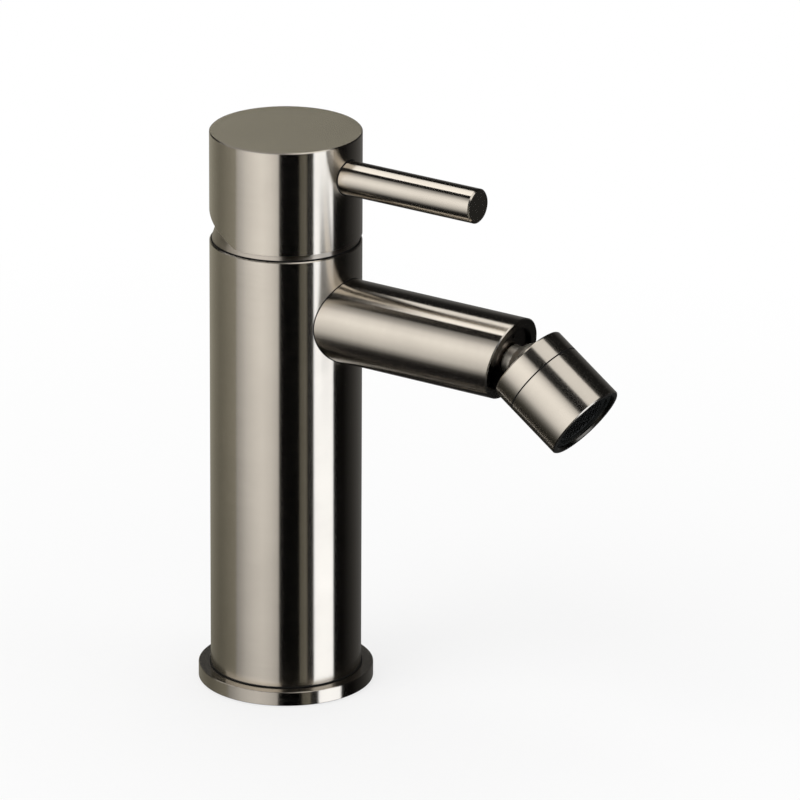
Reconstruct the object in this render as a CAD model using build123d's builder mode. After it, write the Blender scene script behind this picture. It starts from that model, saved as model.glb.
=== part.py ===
"""Single-lever bidet mixer: a round column with a lever head, a straight spout and a ball-jointed outlet.

Millimetres, +Z up. The origin is the centre of the base ring's underside, on the column's axis.
The spout and the lever point along -Y. Radii and stations are worked out from the sizes below.
"""

from build123d import *

import os
from math import cos, radians, sin, sqrt, tan

# Column and base ring
body_diameter = 43.5
body_wall = 3.5
body_lower_wall = 5.0
body_height = 133.1
body_edge = 0.3
base_diameter = 50.5
base_thickness = 4.15
base_edge = 0.15
base_spigot_height = 7.0
spigot_wall = 3.25
gasket_width = 5.0
gasket_margin = 2.6
gasket_thickness = 1.5

# Lever head and lever
head_height = 30.45
head_gap = 1.95
head_edge = 0.3
pivot_drop = 5.14
dome_inset = 0.55
dome_wall = 1.8
dome_web = 1.2
dome_reach_angle = 48.0
dome_clearance = 0.4
lift_angle = 25.0
lift_gap = 0.32
lever_diameter = 10.0
lever_reach = 65.66
lever_drop = 10.13
lever_edge = 0.4
lever_seat_depth = 4.0
lever_thread_diameter = 6.0
lever_thread_length = 8.0
grub_gap = 0.75
grub_key_size = 3.0
grub_key_depth = 2.5

# Spout
spout_diameter = 24.2
spout_wall = 2.6
spout_drop = 20.4
spout_reach = 77.3
spout_edge = 0.35
spout_web = 16.0
mouth_angle = 13.8
mouth_edge = 0.25
socket_wall = 3.16
socket_depth = 8.0
feed_diameter = 9.0

# Hollow bolt that pulls the spout against the column
bolt_diameter = 12.0
bolt_head_diameter = 16.6
bolt_head_thickness = 3.0
bolt_length = 14.4
bolt_key_size = 8.0
bolt_hole_clearance = 0.2
bush_start = 2.2
bush_length = 12.0
spot_face_depth = 0.35
port_margin = 1.0

# Ball stud, gland nut and thrust washer
ball_cover = 4.2
neck_share = 0.55
stem_share = 0.425
stud_bore_share = 0.275
neck_start = 0.65
neck_edge = 0.3
stud_flare_depth = 2.0
stud_flange_clearance = 1.34
stud_flange_thickness = 2.5
washer_thickness = 0.45
gland_depth = 1.0
gland_edge = 0.4
spanner_hole_diameter = 1.4
spanner_hole_depth = 1.5
spanner_inset = 2.24

# Outlet head, measured along its axis from the ball's centre
outlet_step = 0.1
outlet_droop = 35.3
swing_gap = 0.74
collar_back_share = 0.436
collar_crown = 1.0
collar_front = 3.16
collar_edge = 0.25
thread_wall = 2.0
thread_depth = 2.6
seam_edge = 0.12
seat_margin = 0.35
seat_length = 4.5
seat_back = 0.5
seat_width = 3.85
shoulder_gap = 1.0
shoulder_thickness = 3.0
shoulder_width = 2.85
outlet_wall = 1.95
rim_chamfer = 0.5
outlet_edge = 0.3
aerator_gasket_thickness = 1.5
aerator_gasket_width = 2.8
aerator_recess = 0.8
aerator_wall = 1.4
aerator_floor = 1.0
aerator_chamber = 1.8
screen_thickness = 1.4
screen_recess = 0.5
screen_hole_diameter = 1.5
screen_pitch = 2.1
screen_margin = 1.0
limiter_thickness = 1.5
limiter_hole_diameter = 1.6
limiter_hole_count = 8
limiter_inset = 3.3

# Valve core
core_depth = 23.0
core_rim_drop = 0.5
inlet_diameter = 9.0
inlet_thread_length = 12.5
inlet_spacing = 15.2
inlet_setback = 4.0
stud_hole_diameter = 6.8
stud_hole_depth = 15.0
stud_hole_margin = 0.4
channel_diameter = 4.8
channel_rise = 5.0
gallery_width = 6.0
gallery_depth = 2.2
dowel_diameter = 3.0
dowel_length = 6.0
dowel_rise = 1.5
core_seal_rise = 10.5
core_seal_drop = 2.6

# Cartridge: the sizes that go with its bore are shares of it
core_wall = 3.35
cartridge_wall = 2.5
cartridge_foot = 2.0
cartridge_plug = 3.0
cartridge_lip = 1.75
cartridge_seal_drop = 4.2
disc_thickness = 4.0
moving_disc_share = 0.742
port_share = 0.1452
port_spread_share = 0.4516
port_setback_share = 0.1935
mixed_port_share = 0.1774
mixed_port_offset_share = 0.129
port_seal_share = 0.0806
port_seal_land_share = 0.0444
pocket_length_share = 1.048
pocket_width_share = 0.4355
pocket_depth = 2.0
pocket_offset_share = 0.234
carrier_share = 0.774
carrier_thickness = 5.5
arm_cover = 1.04
arm_length_share = 0.8065
arm_share = 0.153
arm_ball_share = 0.1935
arm_socket_gap = 0.25
spindle_share = 0.5645
spindle_blade_share = 0.403
spindle_blade_drop = 3.5
spindle_blade_rise = 7.0
spindle_cover = 3.6
spindle_pin_share = 0.141
pin_inset = 0.4
rotor_lift = 0.3
rotor_thickness_share = 0.5806
rotor_neck_share = 0.758
guide_width_share = 0.0968
guide_length_share = 0.5645
guide_depth = 4.0
nut_thickness = 2.7
nut_clearance = 1.0
nut_slot_width = 3.0
nut_slot_depth = 1.2
nut_slot_count = 4

# Seals and fits
seal_section = 1.6
small_seal_section = 1.0
seal_gap = 0.02
fit_gap = 0.05
running_gap = 0.06
face_gap = 0.05
slot_gap = 0.35
overrun = 1.0

# Radii and stations worked out from the sizes
body_radius = body_diameter / 2
body_bore = body_radius - body_wall
lower_bore = body_radius - body_lower_wall
base_radius = base_diameter / 2
throat_radius = lower_bore - spigot_wall
lever_radius = lever_diameter / 2
lever_thread_radius = lever_thread_diameter / 2
spout_radius = spout_diameter / 2
spout_bore = spout_radius - spout_wall
socket_radius = spout_radius - socket_wall
outlet_radius = spout_radius + outlet_step
ball_radius = outlet_radius - ball_cover
neck_radius = ball_radius * neck_share
stem_radius = ball_radius * stem_share
stud_bore = ball_radius * stud_bore_share
cartridge_radius = body_bore - core_wall
cartridge_bore = cartridge_radius - cartridge_wall
moving_disc_radius = cartridge_bore * moving_disc_share
port_radius = cartridge_bore * port_share
mixed_port_radius = cartridge_bore * mixed_port_share
arm_length = cartridge_bore * arm_length_share
arm_radius = cartridge_bore * arm_share
arm_ball_radius = cartridge_bore * arm_ball_share
spindle_size = cartridge_bore * spindle_share
spindle_blade = cartridge_bore * spindle_blade_share
pin_radius = cartridge_bore * spindle_pin_share
rotor_radius = cartridge_bore - running_gap
rotor_neck = cartridge_bore * rotor_neck_share
bolt_radius = bolt_diameter / 2
bolt_head_radius = bolt_head_diameter / 2

pivot_z = body_height - pivot_drop
head_bottom = body_height + head_gap
head_top = head_bottom + head_height
lever_z = head_top - lever_drop
spout_z = body_height - spout_drop
lift = radians(lift_angle)

carrier_top = pivot_z - arm_length + arm_cover
carrier_bottom = carrier_top - carrier_thickness
fixed_disc_bottom = carrier_bottom - 2 * disc_thickness
plug_bottom = fixed_disc_bottom - cartridge_plug
floor_z = plug_bottom - cartridge_foot
rotor_bottom = carrier_top + rotor_lift
rotor_top = rotor_bottom + cartridge_bore * rotor_thickness_share
cartridge_top = rotor_top + face_gap + cartridge_lip
nut_top = cartridge_top + nut_thickness
ledge_z = floor_z - core_depth
core_top = cartridge_top - core_rim_drop
inlet_top = ledge_z + inlet_thread_length
channel_z = floor_z - channel_rise
disc_offset = arm_length * sin(lift) / 2
port_x = cartridge_bore * port_spread_share
port_y = -cartridge_bore * port_setback_share
port_places = [(-port_x, port_y), (port_x, port_y)]
mixed_port_y = cartridge_bore * mixed_port_offset_share
mixed_port = (0, mixed_port_y)

spout_frame = Plane(origin=(0, 0, spout_z), x_dir=(1, 0, 0), z_dir=(0, -1, 0))
mouth = radians(mouth_angle)
mouth_axis = (0, -cos(mouth), -sin(mouth))
mouth_frame = Plane(origin=(0, -spout_reach, spout_z), x_dir=(1, 0, 0), z_dir=mouth_axis)
droop = radians(outlet_droop)
collar_back = ball_radius * collar_back_share
ball_offset = collar_back * cos(droop - mouth) + outlet_radius * sin(droop - mouth) + swing_gap
ball_centre = mouth_frame.origin + mouth_frame.z_dir * ball_offset
outlet_frame = Plane(origin=ball_centre, x_dir=(1, 0, 0), z_dir=(0, -cos(droop), -sin(droop)))
head_normal = Vector(0, -sin(lift), cos(lift))
pivot = Vector(0, 0, pivot_z)

os.makedirs("parts", exist_ok=True)


def disc(frame, start, end, radius, bore=0, mode=Mode.ADD):
    """Add or cut a disc or a ring between two stations along a frame's normal."""
    with BuildSketch(frame.offset(start)) as face:
        Circle(radius)
        if bore:
            Circle(bore, mode=Mode.SUBTRACT)
    extrude(face.sketch, amount=end - start, mode=mode)


def side_of(frame):
    """Return the plane through a frame's axis: x stays radial and y runs along the axis."""
    return Plane(origin=frame.origin, x_dir=frame.x_dir, z_dir=-frame.y_dir)


def seal_ring(frame, station, radius, section):
    """Add a round-section sealing ring whose section's centre has this radius and station."""
    with BuildSketch(side_of(frame)) as profile:
        with Locations((radius, station)):
            Circle(section / 2)
    revolve(profile.sketch, axis=Axis(frame.origin, frame.z_dir))


def groove(frame, station, inner, outer, section):
    """Cut the square groove that holds a sealing ring of this section."""
    half = section / 2 + seal_gap
    disc(frame, station - half, station + half, outer, inner, mode=Mode.SUBTRACT)


def save(piece, name):
    """Label a finished piece and write it under its own name."""
    piece.part.label = name
    export_step(piece.part, f"parts/{name}.step")


# Base ring, its gasket and the ring that seals it to the column
gasket_outer = base_radius - gasket_margin
gasket_inner = gasket_outer - gasket_width
spigot_radius = lower_bore - fit_gap
spigot_seal_z = base_thickness + base_spigot_height / 2
spigot_seal_radius = lower_bore - seal_gap - small_seal_section / 2

with BuildPart() as base_ring:
    disc(Plane.XY, 0, base_thickness, base_radius)
    chamfer(base_ring.edges().filter_by(GeomType.CIRCLE), base_edge)
    disc(Plane.XY, base_thickness, base_thickness + base_spigot_height, spigot_radius)
    disc(Plane.XY, 0, base_thickness + base_spigot_height, throat_radius, mode=Mode.SUBTRACT)
    disc(Plane.XY, 0, gasket_thickness, gasket_outer + fit_gap, gasket_inner - fit_gap, mode=Mode.SUBTRACT)
    groove_floor = spigot_seal_radius - small_seal_section / 2 - seal_gap
    groove(Plane.XY, spigot_seal_z, groove_floor, body_radius, small_seal_section)
save(base_ring, "base_ring")

with BuildPart() as base_gasket:
    disc(Plane.XY, 0, gasket_thickness, gasket_outer, gasket_inner)
save(base_gasket, "base_gasket")

with BuildPart() as ring_seal:
    seal_ring(Plane.XY, spigot_seal_z, spigot_seal_radius, small_seal_section)
save(ring_seal, "ring_seal")

# Column: two bores with the ledge that the valve core stands on, and the spout's bolt hole
dowel_radius = dowel_diameter / 2
spot_face = body_bore + spot_face_depth
dowel_frame = Plane(origin=(0, body_bore, ledge_z + dowel_rise))

with BuildPart() as body_shell:
    disc(Plane.XY, base_thickness, body_height, body_radius)
    chamfer(body_shell.edges().group_by(Axis.Z)[-1], body_edge)
    disc(Plane.XY, base_thickness, ledge_z, lower_bore, mode=Mode.SUBTRACT)
    disc(Plane.XY, ledge_z, body_height, body_bore, mode=Mode.SUBTRACT)
    disc(spout_frame, 0, spot_face, bolt_head_radius + port_margin / 2, mode=Mode.SUBTRACT)
    disc(spout_frame, 0, body_radius + overrun, bolt_radius + bolt_hole_clearance, mode=Mode.SUBTRACT)
    disc(dowel_frame, 0, dowel_length, dowel_radius, mode=Mode.SUBTRACT)
save(body_shell, "body_shell")

# Valve core: inlets and fixing stud from below, cartridge seat above, mixed water to the spout
core_radius = body_bore - fit_gap
stud_hole_radius = stud_hole_diameter / 2
cavity_radius = cartridge_radius + fit_gap
core_seal_radius = body_bore - seal_gap - seal_section / 2
core_seal_places = [ledge_z + core_seal_rise, core_top - core_seal_drop]
gallery_frame = Plane(origin=(0, 0, channel_z - gallery_width / 2))
inlet_places = [(-inlet_spacing / 2, -inlet_setback), (inlet_spacing / 2, -inlet_setback)]

with BuildPart() as valve_core:
    disc(Plane.XY, ledge_z, core_top, core_radius)
    disc(Plane.XY, floor_z, core_top, cavity_radius, mode=Mode.SUBTRACT)
    disc(spout_frame, 0, body_radius, bolt_head_radius + port_margin, mode=Mode.SUBTRACT)
    with BuildSketch(Plane.XY.offset(ledge_z)):
        with Locations(inlet_places):
            Circle(inlet_diameter / 2)
    extrude(amount=inlet_thread_length, mode=Mode.SUBTRACT)
    with BuildSketch(Plane.XY.offset(inlet_top)):
        with Locations(port_places):
            Circle(port_radius)
    extrude(amount=floor_z - inlet_top, mode=Mode.SUBTRACT)
    with BuildSketch(Plane.XY.offset(ledge_z)):
        with Locations((0, throat_radius - stud_hole_margin - stud_hole_radius)):
            Circle(stud_hole_radius)
    extrude(amount=stud_hole_depth, mode=Mode.SUBTRACT)
    with BuildSketch(Plane.XY.offset(channel_z)):
        with Locations(mixed_port):
            Circle(mixed_port_radius)
    extrude(amount=floor_z - channel_z, mode=Mode.SUBTRACT)
    with BuildSketch(Plane(origin=(0, mixed_port_y, channel_z), z_dir=(0, -1, 0))):
        Circle(channel_diameter / 2)
    extrude(amount=body_radius + mixed_port_y, mode=Mode.SUBTRACT)
    with BuildSketch(gallery_frame):
        with Locations((0, -core_radius)):
            Rectangle(gallery_width, 2 * gallery_depth)
    extrude(amount=spout_z - channel_z, mode=Mode.SUBTRACT)
    disc(dowel_frame, 0, dowel_length, dowel_radius, mode=Mode.SUBTRACT)
    groove_floor = core_seal_radius - seal_section / 2 - seal_gap
    for place in core_seal_places:
        groove(Plane.XY, place, groove_floor, body_radius, seal_section)
save(valve_core, "valve_core")

with BuildPart() as core_dowel:
    disc(dowel_frame, 0, dowel_length, dowel_radius - fit_gap)
save(core_dowel, "core_dowel")

with BuildPart() as core_seals:
    for place in core_seal_places:
        seal_ring(Plane.XY, place, core_seal_radius, seal_section)
save(core_seals, "core_seals")

# Cartridge base with two sets of small seals round its three ports
def port_frames(station):
    """Return each port's radius and frame at a station: hot, cold and mixed."""
    low = [(port_radius, Plane(origin=(x, y, station))) for x, y in port_places]
    return low + [(mixed_port_radius, Plane(origin=(*mixed_port, station)))]


def cut_ports(start, end):
    """Cut the three ports between two heights."""
    for radius, frame in port_frames(start):
        disc(frame, 0, end - start, radius, mode=Mode.SUBTRACT)


port_seal_section = cartridge_bore * port_seal_share
port_seal_land = cartridge_bore * port_seal_land_share
port_seal_rise = port_seal_section / 2 + seal_gap

with BuildPart() as cartridge_base:
    disc(Plane.XY, floor_z, plug_bottom, cartridge_radius)
    disc(Plane.XY, plug_bottom, fixed_disc_bottom, cartridge_bore - fit_gap)
    cut_ports(floor_z, fixed_disc_bottom)
    for station in (floor_z + port_seal_rise, fixed_disc_bottom - port_seal_rise):
        for radius, frame in port_frames(station):
            groove(frame, 0, radius, radius + port_seal_land + port_seal_section, port_seal_section)
save(cartridge_base, "cartridge_base")

for name, station in (
    ("inlet_seals", floor_z + port_seal_rise),
    ("disc_seals", fixed_disc_bottom - port_seal_rise),
):
    with BuildPart() as port_seals:
        for radius, frame in port_frames(station):
            seal_ring(frame, 0, radius + port_seal_land, port_seal_section)
    save(port_seals, name)

with BuildPart() as fixed_disc:
    disc(Plane.XY, fixed_disc_bottom, fixed_disc_bottom + disc_thickness, cartridge_bore - fit_gap)
    cut_ports(fixed_disc_bottom, fixed_disc_bottom + disc_thickness)
save(fixed_disc, "fixed_disc")

# Moving disc and its carrier, shown closed: the lever's lift slides them toward the spout
disc_frame = Plane(origin=(0, disc_offset, carrier_bottom))

with BuildPart() as moving_disc:
    disc(disc_frame, face_gap - disc_thickness, 0, moving_disc_radius)
    with BuildSketch(Plane.XY.offset(carrier_bottom - disc_thickness)):
        with Locations((0, cartridge_bore * pocket_offset_share)):
            SlotOverall(cartridge_bore * pocket_length_share, cartridge_bore * pocket_width_share)
    extrude(amount=pocket_depth, mode=Mode.SUBTRACT)
save(moving_disc, "moving_disc")

arm_ball_z = pivot_z - arm_length
socket_floor = arm_ball_z - arm_ball_radius - arm_socket_gap
carrier_radius = cartridge_bore * carrier_share

with BuildPart() as disc_carrier:
    with BuildSketch(disc_frame):
        Circle(carrier_radius)
        Rectangle(2 * moving_disc_radius, 2 * carrier_radius, mode=Mode.INTERSECT)
    extrude(amount=carrier_thickness)
    disc(Plane.XY, socket_floor, carrier_top, arm_ball_radius + arm_socket_gap, mode=Mode.SUBTRACT)
save(disc_carrier, "disc_carrier")

# Cartridge housing, rotor, spindle and the pin that the spindle tilts on
neck_top = nut_top
cartridge_seal_z = cartridge_top - cartridge_seal_drop
cartridge_seal_radius = cavity_radius - seal_gap - seal_section / 2
rotor_seal_z = (rotor_bottom + rotor_top) / 2
rotor_seal_radius = cartridge_bore - seal_gap - small_seal_section / 2

with BuildPart() as cartridge_housing:
    disc(Plane.XY, plug_bottom, cartridge_top, cartridge_radius)
    disc(Plane.XY, plug_bottom, rotor_top + face_gap, cartridge_bore, mode=Mode.SUBTRACT)
    disc(Plane.XY, rotor_top, cartridge_top, rotor_neck + running_gap, mode=Mode.SUBTRACT)
    groove_floor = cartridge_seal_radius - seal_section / 2 - seal_gap
    groove(Plane.XY, cartridge_seal_z, groove_floor, body_radius, seal_section)
save(cartridge_housing, "cartridge_housing")

with BuildPart() as cartridge_seal:
    seal_ring(Plane.XY, cartridge_seal_z, cartridge_seal_radius, seal_section)
save(cartridge_seal, "cartridge_seal")

blade_half = spindle_size / 2
slot_front = arm_length * sin(lift) + arm_ball_radius + slot_gap
slot_back = (neck_top - pivot_z) * tan(lift) + blade_half / cos(lift) + slot_gap
slot_length = slot_front + slot_back
guide_width = cartridge_bore * guide_width_share
guide_x = moving_disc_radius + slot_gap + guide_width / 2
pin_half = rotor_neck - pin_inset
pin_frame = Plane(origin=(0, 0, pivot_z), x_dir=(0, 1, 0), z_dir=(1, 0, 0))

with BuildPart() as cartridge_rotor:
    disc(Plane.XY, rotor_bottom, rotor_top, rotor_radius)
    disc(Plane.XY, rotor_top, neck_top, rotor_neck)
    with BuildSketch(Plane.XY.offset(rotor_bottom)):
        with Locations((guide_x, 0), (-guide_x, 0)):
            Rectangle(guide_width, cartridge_bore * guide_length_share)
    extrude(amount=-guide_depth)
    with BuildSketch(Plane.XY.offset(rotor_bottom)):
        with Locations((0, (slot_back - slot_front) / 2)):
            Rectangle(spindle_blade + slot_gap, slot_length)
    extrude(amount=neck_top - rotor_bottom, mode=Mode.SUBTRACT)
    disc(pin_frame, -pin_half, pin_half, pin_radius, mode=Mode.SUBTRACT)
    groove_floor = rotor_seal_radius - small_seal_section / 2 - seal_gap
    groove(Plane.XY, rotor_seal_z, groove_floor, body_radius, small_seal_section)
save(cartridge_rotor, "cartridge_rotor")

with BuildPart() as rotor_seal:
    seal_ring(Plane.XY, rotor_seal_z, rotor_seal_radius, small_seal_section)
save(rotor_seal, "rotor_seal")

with BuildPart() as spindle_pin:
    disc(pin_frame, -pin_half, pin_half, pin_radius)
save(spindle_pin, "spindle_pin")

blade_bottom = pivot_z - spindle_blade_drop
blade_top = pivot_z + spindle_blade_rise
spindle_top = lever_z + spindle_cover

with BuildPart() as spindle:
    with BuildSketch(Plane.XY.offset(blade_bottom)):
        Rectangle(spindle_blade, spindle_size)
    extrude(amount=blade_top - blade_bottom)
    with BuildSketch(Plane.XY.offset(blade_top)):
        Rectangle(spindle_size, spindle_size)
    extrude(amount=spindle_top - blade_top)
    disc(Plane.XY, arm_ball_z, blade_bottom, arm_radius)
    with Locations((0, 0, arm_ball_z)):
        Sphere(arm_ball_radius)
    disc(pin_frame, -spindle_blade, spindle_blade, pin_radius + running_gap, mode=Mode.SUBTRACT)
save(spindle, "spindle")

# Cartridge nut and the dome that closes the column's top
with BuildPart() as cartridge_nut:
    disc(Plane.XY, cartridge_top, nut_top, body_bore - fit_gap, rotor_neck + nut_clearance)
    with BuildSketch(Plane.XY.offset(nut_top - nut_slot_depth)):
        with PolarLocations(body_bore, nut_slot_count, start_angle=360 / nut_slot_count / 2):
            Rectangle(2 * nut_slot_width, nut_slot_width)
    extrude(amount=nut_slot_depth, mode=Mode.SUBTRACT)
save(cartridge_nut, "cartridge_nut")

dome_radius = sqrt((body_radius - dome_inset) ** 2 + pivot_drop**2)
dome_bore = dome_radius - dome_wall
skirt_bore = body_bore - dome_wall
opening_radius = dome_radius * cos(radians(dome_reach_angle))
dome_seal_z = (nut_top + body_height) / 2
dome_seal_radius = body_bore - seal_gap - small_seal_section / 2

with BuildPart() as dome_ring:
    with Locations(pivot):
        Sphere(dome_radius)
        Sphere(dome_bore, mode=Mode.SUBTRACT)
    split(bisect_by=Plane.XY.offset(body_height), keep=Keep.TOP)
    disc(Plane.XY, body_height, pivot_z + dome_radius, opening_radius, mode=Mode.SUBTRACT)
    disc(Plane.XY, body_height, body_height + dome_web, body_radius - dome_inset - dome_wall / 2, skirt_bore)
    disc(Plane.XY, nut_top, body_height, body_bore - fit_gap, skirt_bore)
    groove_floor = dome_seal_radius - small_seal_section / 2 - seal_gap
    groove(Plane.XY, dome_seal_z, groove_floor, body_bore, small_seal_section)
save(dome_ring, "dome_ring")

with BuildPart() as dome_seal:
    seal_ring(Plane.XY, dome_seal_z, dome_seal_radius, small_seal_section)
save(dome_seal, "dome_seal")

# Lever head: its back is cut so that the cut lies level over the column at full lift
cut_distance = pivot_drop + lift_gap
lever_frame = Plane(origin=(0, 0, lever_z), x_dir=(1, 0, 0), z_dir=(0, -1, 0))
lever_root = body_radius - lever_seat_depth
socket_half = blade_half + fit_gap

with BuildPart() as handle_head:
    disc(Plane.XY, head_bottom, head_top, body_radius)
    chamfer(handle_head.edges().group_by(Axis.Z)[-1], head_edge)
    split(bisect_by=Plane(origin=pivot + head_normal * cut_distance, z_dir=head_normal), keep=Keep.TOP)
    with Locations(pivot):
        Sphere(dome_radius + dome_clearance, mode=Mode.SUBTRACT)
    with BuildSketch(Plane.XY.offset(blade_top)):
        Rectangle(2 * socket_half, 2 * socket_half)
    extrude(amount=spindle_top + slot_gap - blade_top, mode=Mode.SUBTRACT)
    disc(lever_frame, lever_root, body_radius + overrun, lever_radius + fit_gap, mode=Mode.SUBTRACT)
    disc(lever_frame, 0, lever_root, lever_thread_radius + fit_gap, mode=Mode.SUBTRACT)
save(handle_head, "handle_head")

with BuildPart() as lever_rod:
    disc(lever_frame, lever_root, lever_reach, lever_radius)
    chamfer(lever_rod.edges().group_by(Axis.Y)[0], lever_edge)
    disc(lever_frame, lever_root - lever_thread_length, lever_root, lever_thread_radius)
save(lever_rod, "lever_rod")

grub_end = lever_root - lever_thread_length - grub_gap

with BuildPart() as grub_screw:
    disc(lever_frame, blade_half, grub_end, lever_thread_radius)
    with BuildSketch(lever_frame.offset(grub_end)):
        RegularPolygon(grub_key_size / 2, 6, major_radius=False)
    extrude(amount=-grub_key_depth, mode=Mode.SUBTRACT)
save(grub_screw, "grub_screw")

# Spout tube: saddle at the column, slanted mouth with the socket for the ball stud
with BuildPart() as spout_tube:
    disc(spout_frame, 0, spout_reach + spout_radius, spout_radius)
    split(bisect_by=mouth_frame, keep=Keep.BOTTOM)
    mouth_rim = spout_tube.edges().filter_by(GeomType.ELLIPSE)
    chamfer(mouth_rim, spout_edge)
    disc(Plane.XY, 0, head_top, body_radius, mode=Mode.SUBTRACT)
    disc(spout_frame, 0, spout_reach - spout_web, spout_bore, mode=Mode.SUBTRACT)
    disc(mouth_frame, -socket_depth, spout_radius, socket_radius, mode=Mode.SUBTRACT)
    disc(mouth_frame, -spout_web - overrun, -socket_depth, feed_diameter / 2, mode=Mode.SUBTRACT)
    with BuildSketch(mouth_frame.offset(-mouth_edge)) as mouth_face:
        Circle(socket_radius)
    extrude(mouth_face.sketch, amount=2 * mouth_edge, taper=-45, mode=Mode.SUBTRACT)
save(spout_tube, "spout_tube")

bush_root = body_radius + bush_start
with BuildPart() as spout_bush:
    disc(spout_frame, bush_root, bush_root + bush_length, spout_bore - fit_gap, bolt_radius + fit_gap)
save(spout_bush, "spout_bush")

bolt_back = spot_face - bolt_head_thickness
bolt_seal_radius = (bolt_radius + bolt_head_radius) / 2
bolt_seal_station = spot_face - small_seal_section / 2 - seal_gap

with BuildPart() as spout_bolt:
    disc(spout_frame, bolt_back, spot_face, bolt_head_radius)
    disc(spout_frame, spot_face, spot_face + bolt_length, bolt_radius)
    with BuildSketch(spout_frame.offset(bolt_back)):
        RegularPolygon(bolt_key_size / 2, 6, major_radius=False)
    extrude(amount=bolt_head_thickness + bolt_length, mode=Mode.SUBTRACT)
    half_land = small_seal_section / 2 + seal_gap
    groove(spout_frame, bolt_seal_station, bolt_seal_radius - half_land, bolt_seal_radius + half_land,
           small_seal_section)
save(spout_bolt, "spout_bolt")

with BuildPart() as spout_seal:
    seal_ring(spout_frame, bolt_seal_station, bolt_seal_radius, small_seal_section)
save(spout_seal, "spout_seal")

# Ball stud: it turns in the gland nut, with its flange between the nut and the thrust washer
flange_back = washer_thickness + face_gap - socket_depth
flange_front = flange_back + stud_flange_thickness
flange_radius = socket_radius - stud_flange_clearance
gland_back = flange_front + face_gap
gland_seal_station = (gland_back - gland_depth) / 2
gland_seal_radius = stem_radius + seal_gap + small_seal_section / 2

with BuildPart() as stud_washer:
    disc(mouth_frame, -socket_depth, washer_thickness - socket_depth, flange_radius, feed_diameter / 2)
save(stud_washer, "stud_washer")

with BuildPart() as gland_nut:
    disc(mouth_frame, gland_back, -gland_depth, socket_radius - fit_gap, stem_radius + running_gap)
    nut_rim = gland_nut.edges().filter_by(GeomType.CIRCLE).sort_by_distance(mouth_frame.origin)[0]
    chamfer(nut_rim, gland_edge)
    with BuildSketch(mouth_frame.offset(-gland_depth)):
        with PolarLocations(socket_radius - spanner_inset, 2, start_angle=90):
            Circle(spanner_hole_diameter / 2)
    extrude(amount=-spanner_hole_depth, mode=Mode.SUBTRACT)
    groove(mouth_frame, gland_seal_station, 0, gland_seal_radius + small_seal_section / 2 + seal_gap,
           small_seal_section)
save(gland_nut, "gland_nut")

with BuildPart() as stud_seal:
    seal_ring(mouth_frame, gland_seal_station, gland_seal_radius, small_seal_section)
save(stud_seal, "stud_seal")

with BuildPart() as ball_stud:
    disc(mouth_frame, -neck_start, ball_offset, neck_radius)
    neck_rim = ball_stud.edges().filter_by(GeomType.CIRCLE).sort_by_distance(mouth_frame.origin)[0]
    chamfer(neck_rim, neck_edge)
    disc(mouth_frame, flange_back, flange_front, flange_radius)
    disc(mouth_frame, flange_front, -neck_start, stem_radius)
    with Locations(ball_centre):
        Sphere(ball_radius)
    disc(mouth_frame, flange_back, ball_offset + ball_radius, stud_bore, mode=Mode.SUBTRACT)
    with BuildSketch(mouth_frame.offset(ball_offset + ball_radius - stud_flare_depth)) as flare_face:
        Circle(stud_bore)
    extrude(flare_face.sketch, amount=stud_flare_depth, taper=-45, mode=Mode.SUBTRACT)
save(ball_stud, "ball_stud")

# Outlet head: the collar holds the ball from behind, the seat from the front
outlet_axis = Axis(outlet_frame.origin, outlet_frame.z_dir)
seat_sphere = ball_radius + running_gap
lip_station = collar_back + collar_crown
lip_radius = sqrt(seat_sphere**2 - collar_back**2)
crown_radius = (lip_radius + outlet_radius) / 2
collar_thread = outlet_radius - thread_wall
thread_start = collar_front - thread_depth

with BuildPart() as swivel_collar:
    with BuildSketch(side_of(outlet_frame)):
        with BuildLine():
            Polyline(
                (outlet_radius, collar_front - seam_edge),
                (outlet_radius, collar_edge - collar_back),
                (outlet_radius - collar_edge, -collar_back - collar_edge / 2),
            )
            ThreePointArc(
                (outlet_radius - collar_edge, -collar_back - collar_edge / 2),
                (crown_radius, -collar_back - collar_crown * crown_radius / outlet_radius),
                (lip_radius, -lip_station),
            )
            Line((lip_radius, -lip_station), (lip_radius, -collar_back))
            ThreePointArc(
                (lip_radius, -collar_back),
                (sqrt(seat_sphere**2 - (collar_back / 2) ** 2), -collar_back / 2),
                (seat_sphere, 0),
            )
            Polyline(
                (seat_sphere, 0),
                (seat_sphere, thread_start),
                (collar_thread, thread_start),
                (collar_thread, collar_front),
                (outlet_radius - seam_edge, collar_front),
                (outlet_radius, collar_front - seam_edge),
            )
        make_face()
    revolve(axis=outlet_axis)
save(swivel_collar, "swivel_collar")

seat_radius = ball_radius + seat_margin
seat_end = ball_radius - seat_back
seat_start = seat_end - seat_length
shoulder_depth = ball_radius + shoulder_gap
shoulder_end = shoulder_depth + shoulder_thickness
case_start = shoulder_end + aerator_gasket_thickness
limiter_start = case_start + aerator_floor
limiter_end = limiter_start + limiter_thickness
screen_start = limiter_end + aerator_chamber
screen_end = screen_start + screen_thickness
case_end = screen_end + screen_recess
outlet_station = case_end + aerator_recess
aerator_radius = outlet_radius - outlet_wall
case_bore = aerator_radius - aerator_wall
insert_radius = case_bore - fit_gap

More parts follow.
